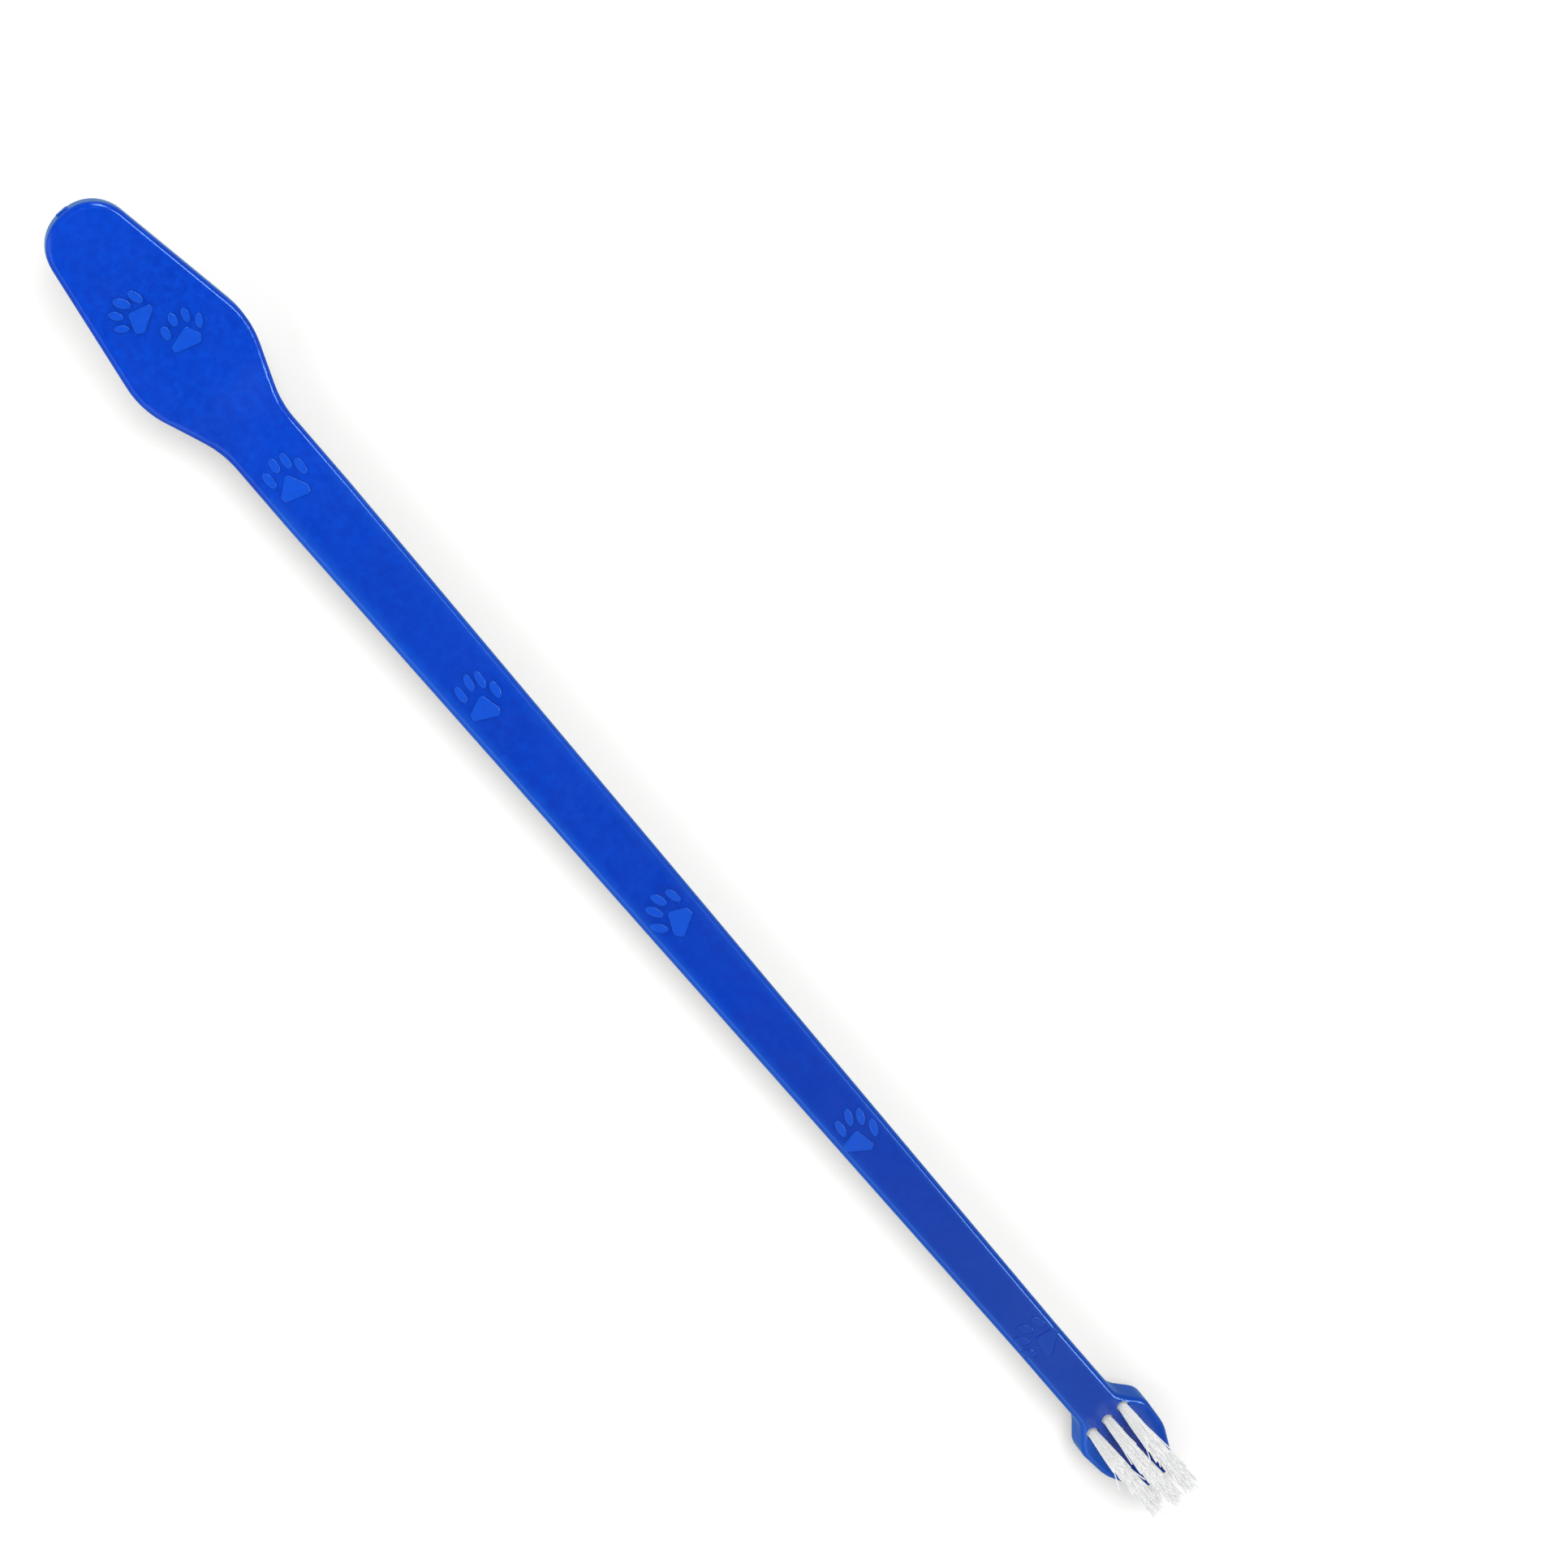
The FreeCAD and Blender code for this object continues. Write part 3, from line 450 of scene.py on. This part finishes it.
# The folded ends: every filament runs down one side of its anchor plate, under
# its lower edge and up the other side.
HOLE_DEEP, GAP, ANCHOR_LIFT = 2.9 * MM, 0.35 * MM, 0.4 * MM
for head in ("large", "small"):
    parts = []
    for base, axis in LOOPS[head]:
        side = np.array((0.0, 1.0, 0.0))
        side -= axis * (side @ axis)
        side /= np.linalg.norm(side)
        across = np.cross(side, axis)
        face = base - axis * GAP
        floor = face - axis * HOLE_DEEP
        legs = []
        for away in (0.24, 0.42, 0.60):
            reach = math.sqrt(0.70 ** 2 - away ** 2)
            for w in np.linspace(-reach, reach, 5 if away < 0.5 else 3):
                legs.append((away * MM, w * MM))
        legs = np.array(legs)
        count = len(legs)
        turn = np.linspace(0, math.pi, 7)
        flat = np.concatenate(([1, 1], np.cos(turn), [-1, -1]))
        drop = np.concatenate(([0, 0], np.sin(turn), [0, 0]))
        top = HOLE_DEEP - ANCHOR_LIFT - 0.45 * MM
        rise = np.concatenate(([top, top / 2], np.zeros(7), [top / 2, top]))
        depth = 0.07 * MM + 0.36 * legs[:, 0]
        up = ANCHOR_LIFT + rise[None] - depth[:, None] * drop[None]
        lines = (floor + up[:, :, None] * axis
                 + (legs[:, :1] * flat[None])[:, :, None] * across
                 + legs[:, 1][:, None, None] * side)
        tangent = np.gradient(lines, axis=1)
        tangent /= np.linalg.norm(tangent, axis=2, keepdims=True)
        first = np.broadcast_to(side, lines.shape)
        second = np.cross(tangent, first)
        radii = np.full(lines.shape[:2], 0.09 * MM)
        parts.append((lines, radii, first, second, np.zeros(lines.shape[:2])))
    lines, radii, first, second, along = join(parts)
    tone = RNG.uniform(0, 1, len(lines))
    folds = tubes("%s_bristle_folds" % head, lines, radii, first, second, tone, along)
    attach(folds, "handle")
    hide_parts("%s_tuft_roots" % head)

# ------------------------------------------------------- carried over nodes
handle = frame["nodes"]["handle"]
dress(handle, PLASTIC)
dress(frame["nodes"]["large_head_anchors"], METAL)
dress(frame["nodes"]["small_head_anchors"], METAL)
SOLE.append(points_of("handle"))

# --------------------------------------------------------------------- table
# The brush rests on its long bristles and on the underside of the small head:
# the table is the line under both, seen from the side.
low = np.concatenate(SOLE)[:, (0, 2)]
low = low[np.argsort(low[:, 0])]
hull = []
for p in low:
    while len(hull) > 1:
        a, b = hull[-2], hull[-1]
        if (b[0] - a[0]) * (p[1] - a[1]) - (b[1] - a[1]) * (p[0] - a[0]) <= 0:
            hull.pop()
        else:
            break
    hull.append(p)
a, b = next((a, b) for a, b in zip(hull, hull[1:]) if a[0] <= -0.02 <= b[0])
slope = (b[1] - a[1]) / (b[0] - a[0])
height = a[1] - slope * a[0] - 0.03 * MM


def backdrop():
    made, t = new_material("pale_table")
    here = t.node("ShaderNodeTexCoord").outputs["Object"]
    colour = t.blend(t.noise(here, 60.0, 3.0, 0.5), (0.915, 0.91, 0.905, 1), (0.935, 0.93, 0.925, 1))
    shader = principled(t, Base_Color=colour, Roughness=0.75, Specular_IOR_Level=0.15)
    shader.inputs["Emission Color"].default_value = (1.0, 1.0, 1.0, 1)
    t.link(t.math("MULTIPLY", t.node("ShaderNodeLightPath").outputs["Is Camera Ray"], 0.09),
           shader.inputs["Emission Strength"])
    t.link(shader.outputs[0], t.node("ShaderNodeOutputMaterial").inputs[0])
    return made


size = 2.4
mesh = bpy.data.meshes.new("table_top")
mesh.from_pydata([(x * size, y * size, height + slope * x * size)
                  for x, y in ((-1, -1), (1, -1), (1, 1), (-1, 1))], [], [(0, 1, 2, 3)])
table_top = bpy.data.objects.new("table_top", mesh)
bpy.context.scene.collection.objects.link(table_top)
table_top.data.materials.append(backdrop())


# -------------------------------------------------------------------- lights
def softbox(name, place, aim, wide, high, power):
    data = bpy.data.lights.new(name, "AREA")
    data.shape = "RECTANGLE"
    data.size, data.size_y = wide, high
    data.energy = power
    lamp = bpy.data.objects.new(name, data)
    bpy.context.scene.collection.objects.link(lamp)
    lamp.location = place
    lamp.rotation_mode = "QUATERNION"
    lamp.rotation_quaternion = (Vector(aim) - Vector(place)).to_track_quat("-Z", "Y")
    return lamp


key = softbox("key_light", (0.02, 0.17, 0.88), (0, 0, 0), 0.36, 0.36, 4.0)
fill = softbox("fill_light", (-0.15, -0.45, 0.80), (0, 0, 0), 0.5, 0.5, 1.6)
key.visible_glossy = fill.visible_glossy = False
table_top.visible_glossy = False

# Lit surfaces see an even white room. Reflections see a dim room with softboxes
# in it: a long one to the +Y side and a weaker one opposite. The world isn't
# sampled as a lamp, so each kind of ray sees its own room.
world = bpy.data.worlds.new("soft_room")
bpy.context.scene.world = world
world.use_nodes = True
world.cycles.sampling_method = "NONE"
w = Tree(world.node_tree)
direction = w.node("ShaderNodeTexCoord").outputs["Generated"]
parts = w.node("ShaderNodeSeparateXYZ")
w.link(direction, parts.inputs[0])
px, py, pz = parts.outputs


def box_light(value, low, rise, fall, high):
    return w.math("MULTIPLY", w.spread(value, low, rise, 0.0, 1.0, True),
                  w.spread(value, fall, high, 1.0, 0.0, True))


above = w.spread(pz, -0.05, 0.12, 0.0, 1.0, True)
right = w.math("MULTIPLY", box_light(py, 0.58, 0.63, 0.76, 0.84), 15.0)
along = w.math("ABSOLUTE", px)
ends = w.math("MULTIPLY", w.spread(along, 0.07, 0.17, 0.10, 1.0, True),
              w.spread(along, 0.40, 0.55, 1.0, 0.06, True))
right = w.math("MULTIPLY", right, ends)
left = w.math("MULTIPLY", box_light(w.math("MULTIPLY", py, -1.0), 0.45, 0.66, 0.84, 0.97), 1.6)
dim = w.spread(pz, -0.10, 0.45, 0.50, 0.020, True)
glossy = w.math("ADD", w.math("MULTIPLY", w.math("ADD", right, left), above), dim)
rays = w.node("ShaderNodeLightPath")
seen = w.node("ShaderNodeMix", data_type="FLOAT")
w.link(rays.outputs["Is Glossy Ray"], seen.inputs[0])
w.link(w.spread(pz, 0.0, 1.0, 0.30, 0.72), seen.inputs[2])
w.link(glossy, seen.inputs[3])
sky = w.node("ShaderNodeBackground")
w.put(sky.inputs["Color"], w.blend(rays.outputs["Is Glossy Ray"],
                                    (1.0, 0.998, 0.995, 1), (0.48, 0.80, 1.0, 1)))
shown = w.node("ShaderNodeMix", data_type="FLOAT")
w.link(rays.outputs["Is Camera Ray"], shown.inputs[0])
w.link(seen.outputs[0], shown.inputs[2])
shown.inputs[3].default_value = 0.93
w.link(shown.outputs[0], sky.inputs["Strength"])
w.link(sky.outputs[0], w.node("ShaderNodeOutputWorld").inputs[0])

# -------------------------------------------------------------------- camera
camera_data = bpy.data.cameras.new("camera")
camera_data.sensor_width = 36.0
camera_data.lens = 86.46
camera_data.clip_start, camera_data.clip_end = 0.01, 20.0
camera = bpy.data.objects.new("camera", camera_data)
bpy.context.scene.collection.objects.link(camera)
camera.matrix_world = Matrix((
    (0.653091, -0.757279, 0.000796, 0.006822),
    (0.757238, 0.653044, -0.011157, 0.016584),
    (0.007930, 0.007889, 0.999937, 0.489856),
    (0.0, 0.0, 0.0, 1.0)))
bpy.context.scene.camera = camera
bpy.context.scene.view_settings.view_transform = "Standard"
bpy.context.scene.view_settings.look = "None"
